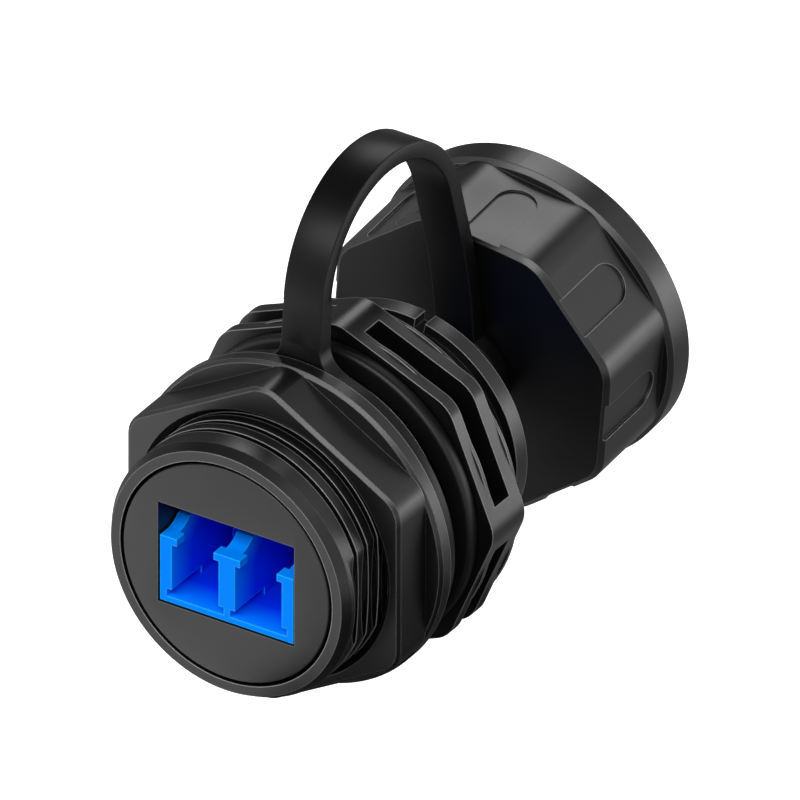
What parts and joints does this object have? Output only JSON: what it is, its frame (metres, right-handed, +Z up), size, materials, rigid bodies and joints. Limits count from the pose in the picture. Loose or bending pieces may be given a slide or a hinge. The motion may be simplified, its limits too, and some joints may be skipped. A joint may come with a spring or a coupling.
{
  "type": "fibre optic coupler",
  "caption": "Fibre optic coupler for panel mounting: threaded round shell with an octagonal flange, hexagon nut, blue plug ports and a dust cap held by a moulded strap.",
  "frame": {"origin": "on the connector's axis, at the panel side of the octagonal flange", "axes": "+Y along the connector from the nut end to the cap end, +Z up through the strap, +X to the right seen from the nut end"},
  "size_m": [0.0314, 0.0502, 0.0458],
  "materials": {
    "shell_plastic": "satin",
    "nut_plastic": "satin",
    "cap_plastic": "satin",
    "insert_plastic": "fine matte",
    "adapter_plastic": "semi-gloss",
    "seal_rubber": "matte",
    "tether_rubber": "matte",
    "sleeve_ceramic": "polished"
  },
  "bodies": {
    "coupler": {"shell": "shell_plastic", "panel_gasket": "seal_rubber", "insert_plug": "insert_plastic", "adapter_near": "adapter_plastic", "adapter_far": "adapter_plastic", "adapter_gasket": "seal_rubber", "sleeve_left": "sleeve_ceramic", "sleeve_right": "sleeve_ceramic"},
    "nut": {"panel_nut": "nut_plastic"},
    "tether": {"tether": "tether_rubber"},
    "cap": {"dust_cap": "cap_plastic", "cap_gasket": "seal_rubber"}
  },
  "joints": [
    {"name": "nut_travel", "type": "slide", "parent": "coupler", "child": "nut", "axis": [0, -1, 0], "range_m": [0, 0.0112]},
    {"name": "tether_turn", "type": "hinge", "parent": "coupler", "child": "tether", "pos_m": [0, 0, 0], "axis": [0, 1, 0], "continuous": true},
    {"name": "cap_turn", "type": "hinge", "parent": "tether", "child": "cap", "pos_m": [0, 0.02052, 0.00115], "axis": [0, 0.9965, 0.0837], "continuous": true}
  ]
}
